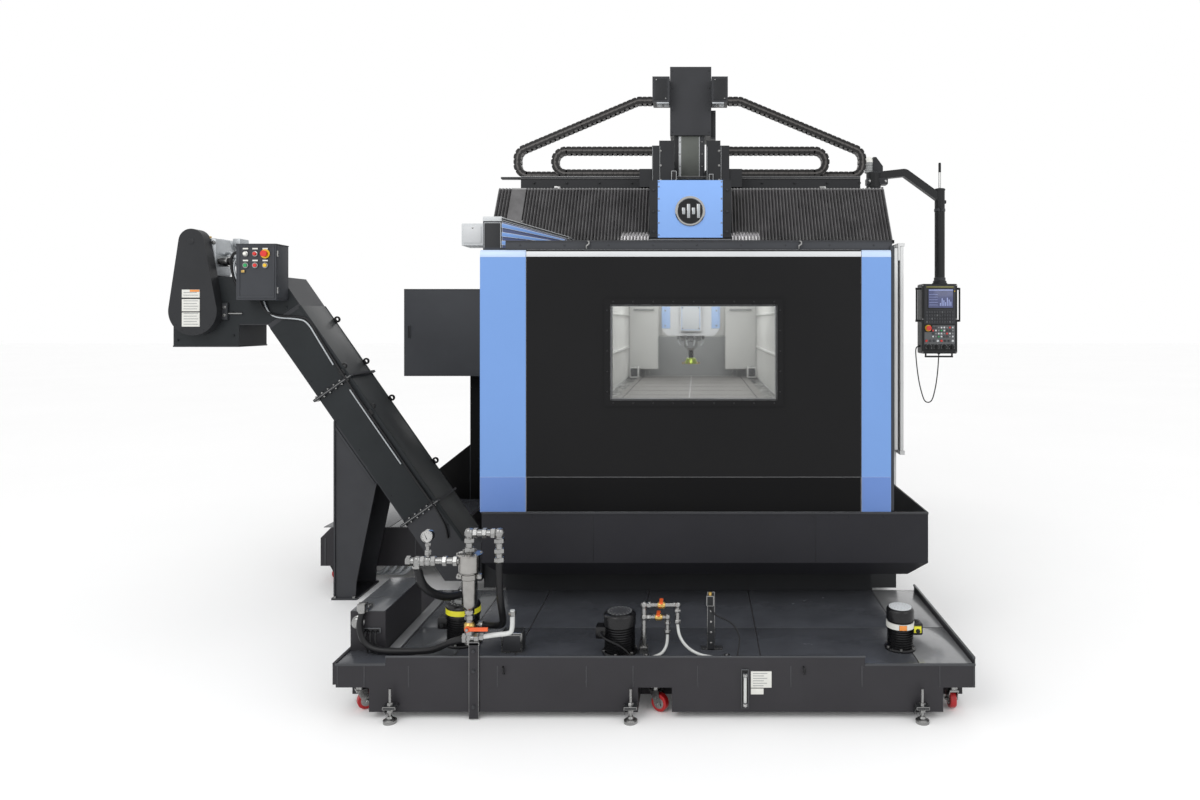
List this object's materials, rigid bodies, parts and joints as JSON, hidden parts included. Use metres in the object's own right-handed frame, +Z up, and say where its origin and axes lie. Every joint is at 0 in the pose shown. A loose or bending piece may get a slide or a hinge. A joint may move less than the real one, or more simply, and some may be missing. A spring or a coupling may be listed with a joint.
{
  "type": "gantry machining centre",
  "caption": "Gantry milling machine with enclosed work area, vertical ram, coolant tank, inclined chip conveyor and swinging operator pendant.",
  "frame": {"origin": "floor level below the middle of the machine's overall box, without the free hoses and cables", "axes": "+X to the operator's right along the longest extent, +Y to the back of the machine, +Z up"},
  "size_m": [5.497, 5.0499, 3.657],
  "materials": {
    "tank_paint": "satin dark grey paint",
    "dark_paint": "fine-textured black paint",
    "blue_paint": "satin light blue paint",
    "white_paint": "satin white paint",
    "grey_paint": "satin grey paint",
    "cast_ram": "ground casting",
    "steel": "zinc plated or ground",
    "stainless": "brushed stainless",
    "motor_alloy": "cast alloy",
    "motor_black": "gloss black paint",
    "window": "clear laminated pane",
    "bellows": "coated fabric",
    "chain_plastic": "moulded links",
    "hose_rubber": "smooth hose",
    "panel_plastic": "textured housing",
    "wheel_red": "polyurethane tread",
    "red_plastic": "moulded",
    "green_plastic": "moulded",
    "yellow_plastic": "moulded",
    "orange_plastic": "dipped handle"
  },
  "bodies": {
    "machine": {"coolant_tank": "tank_paint", "leveling_feet": "steel", "machine_bed": "tank_paint", "side_walls": "white_paint", "drip_pan": "dark_paint", "front_panel": "dark_paint", "window_glass": "window", "front_pillars": "blue_paint", "work_table": "steel", "rear_bulkhead": "grey_paint", "body_covers": "dark_paint", "conveyor_casing": "dark_paint", "conveyor_head": "dark_paint", "gear_motor": "motor_alloy", "chain_guard": "dark_paint", "control_box": "dark_paint", "left_pump": "motor_black", "centre_pump": "motor_black", "right_pump": "motor_black", "filter_housing": "stainless", "coolant_pipework": "stainless", "suction_hose": "hose_rubber", "filter_hose": "hose_rubber", "manifold_hose": "hose_rubber", "left_valve_hose": "hose_rubber", "right_valve_hose": "hose_rubber", "sensor_cable": "hose_rubber", "pump_cable": "hose_rubber"},
    "bridge": {"gantry_beam": "dark_paint", "bridge_bellows": "bellows", "cable_chains": "chain_plastic"},
    "saddle": {"saddle": "dark_paint", "saddle_cover": "blue_paint"},
    "ram": {"ram": "cast_ram", "ram_cover": "dark_paint", "spindle_head": "white_paint"},
    "spindle": {"milling_tool": "steel"},
    "side_door": {"side_door": "white_paint"},
    "pendant_arm": {"pendant_arm": "dark_paint"},
    "pendant": {"pendant": "panel_plastic", "pendant_cord": "hose_rubber"},
    "pendant_estop": {"pendant_estop": "red_plastic"},
    "conveyor_estop": {"conveyor_estop": "red_plastic"},
    "rear_caster_wheel": {"rear_caster_wheel": "wheel_red"},
    "green_button": {"green_button": "green_plastic"},
    "red_button": {"red_button": "red_plastic"},
    "yellow_button": {"yellow_button": "yellow_plastic"},
    "pendant_knob_1": {"pendant_knob_1": "panel_plastic"},
    "pendant_knob_2": {"pendant_knob_2": "panel_plastic"},
    "pendant_knob_3": {"pendant_knob_3": "panel_plastic"},
    "pendant_knob_4": {"pendant_knob_4": "panel_plastic"},
    "filter_valve_lever": {"filter_valve_lever": "orange_plastic"},
    "upper_branch_lever": {"upper_branch_lever": "orange_plastic"},
    "lower_branch_lever": {"lower_branch_lever": "orange_plastic"},
    "left_caster_fork": {"left_caster_fork": "steel"},
    "left_caster_wheel": {"left_caster_wheel": "wheel_red"},
    "centre_caster_fork": {"centre_caster_fork": "steel"},
    "centre_caster_wheel": {"centre_caster_wheel": "wheel_red"},
    "right_caster_fork": {"right_caster_fork": "steel"},
    "right_caster_wheel": {"right_caster_wheel": "wheel_red"}
  },
  "joints": [
    {"name": "bridge_slide", "type": "slide", "parent": "machine", "child": "bridge", "axis": [0, 1, 0], "range_m": [0, 1.6]},
    {"name": "saddle_slide", "type": "slide", "parent": "bridge", "child": "saddle", "axis": [1, 0, 0], "range_m": [-0.42, 0.42], "deforming": ["bridge_bellows", "cable_chains"]},
    {"name": "ram_slide", "type": "slide", "parent": "saddle", "child": "ram", "axis": [0, 0, 1], "range_m": [-0.22, 0.28], "deforming": ["cable_chains"]},
    {"name": "spindle_spin", "type": "hinge", "parent": "ram", "child": "spindle", "pos_m": [0.5765, -0.065, 1.53], "axis": [0, 0, 1], "continuous": true},
    {"name": "side_door_slide", "type": "slide", "parent": "machine", "child": "side_door", "axis": [0, 1, 0], "range_m": [0, 0.85]},
    {"name": "pendant_arm_swing", "type": "hinge", "parent": "machine", "child": "pendant_arm", "pos_m": [2.0515, 0.415, 2.93], "axis": [0, 0, 1], "range_deg": [-60, 45]},
    {"name": "pendant_swivel", "type": "hinge", "parent": "pendant_arm", "child": "pendant", "pos_m": [2.5875, 0.415, 2.105], "axis": [0, 0, 1], "range_deg": [-90, 90]},
    {"name": "pendant_estop_press", "type": "slide", "parent": "pendant", "child": "pendant_estop", "axis": [0, 1, 0], "range_m": [0, 0.005], "stiffness_N_per_m": 400},
    {"name": "conveyor_estop_press", "type": "slide", "parent": "machine", "child": "conveyor_estop", "axis": [0, 1, 0], "range_m": [0, 0.005], "stiffness_N_per_m": 400},
    {"name": "green_button_press", "type": "slide", "parent": "machine", "child": "green_button", "axis": [0, 1, 0], "range_m": [0, 0.004], "stiffness_N_per_m": 300},
    {"name": "red_button_press", "type": "slide", "parent": "machine", "child": "red_button", "axis": [0, 1, 0], "range_m": [0, 0.004], "stiffness_N_per_m": 300},
    {"name": "yellow_button_press", "type": "slide", "parent": "machine", "child": "yellow_button", "axis": [0, 1, 0], "range_m": [0, 0.004], "stiffness_N_per_m": 300},
    {"name": "pendant_knob_1_turn", "type": "hinge", "parent": "pendant", "child": "pendant_knob_1", "pos_m": [2.4825, 0.34, 1.585], "axis": [0, -1, 0], "range_deg": [-120, 120]},
    {"name": "pendant_knob_2_turn", "type": "hinge", "parent": "pendant", "child": "pendant_knob_2", "pos_m": [2.5425, 0.34, 1.585], "axis": [0, -1, 0], "range_deg": [-120, 120]},
    {"name": "pendant_knob_3_turn", "type": "hinge", "parent": "pendant", "child": "pendant_knob_3", "pos_m": [2.6055, 0.34, 1.585], "axis": [0, -1, 0], "range_deg": [-120, 120]},
    {"name": "pendant_knob_4_turn", "type": "hinge", "parent": "pendant", "child": "pendant_knob_4", "pos_m": [2.6665, 0.34, 1.585], "axis": [0, -1, 0], "range_deg": [-120, 120]},
    {"name": "filter_valve_turn", "type": "hinge", "parent": "machine", "child": "filter_valve_lever", "pos_m": [-0.4075, -2.481, 0.41], "axis": [0, -1, 0], "range_deg": [0, 90]},
    {"name": "upper_branch_turn", "type": "hinge", "parent": "machine", "child": "upper_branch_lever", "pos_m": [0.4565, -2.345, 0.495], "axis": [0, 0, 1], "range_deg": [0, 90]},
    {"name": "lower_branch_turn", "type": "hinge", "parent": "machine", "child": "lower_branch_lever", "pos_m": [0.4435, -2.345, 0.439], "axis": [0, 0, 1], "range_deg": [0, 90]},
    {"name": "left_caster_swivel", "type": "hinge", "parent": "machine", "child": "left_caster_fork", "pos_m": [-0.9285, -2.377, 0.11], "axis": [0, 0, 1], "continuous": true},
    {"name": "left_caster_roll", "type": "hinge", "parent": "left_caster_fork", "child": "left_caster_wheel", "pos_m": [-0.90884, -2.36323, 0.042], "axis": [-0.5736, 0.8192, 0], "continuous": true},
    {"name": "centre_caster_swivel", "type": "hinge", "parent": "machine", "child": "centre_caster_fork", "pos_m": [0.4315, -2.377, 0.11], "axis": [0, 0, 1], "continuous": true},
    {"name": "centre_caster_roll", "type": "hinge", "parent": "centre_caster_fork", "child": "centre_caster_wheel", "pos_m": [0.45228, -2.389, 0.042], "axis": [0.5, 0.866, 0], "continuous": true},
    {"name": "right_caster_swivel", "type": "hinge", "parent": "machine", "child": "right_caster_fork", "pos_m": [1.8015, -2.377, 0.11], "axis": [0, 0, 1], "continuous": true},
    {"name": "right_caster_roll", "type": "hinge", "parent": "right_caster_fork", "child": "right_caster_wheel", "pos_m": [1.8015, -2.353, 0.042], "axis": [-1, 0, 0], "continuous": true},
    {"name": "rear_caster_roll", "type": "hinge", "parent": "machine", "child": "rear_caster_wheel", "pos_m": [-1.8705, -0.505, 0.042], "axis": [0, 1, 0], "continuous": true}
  ]
}
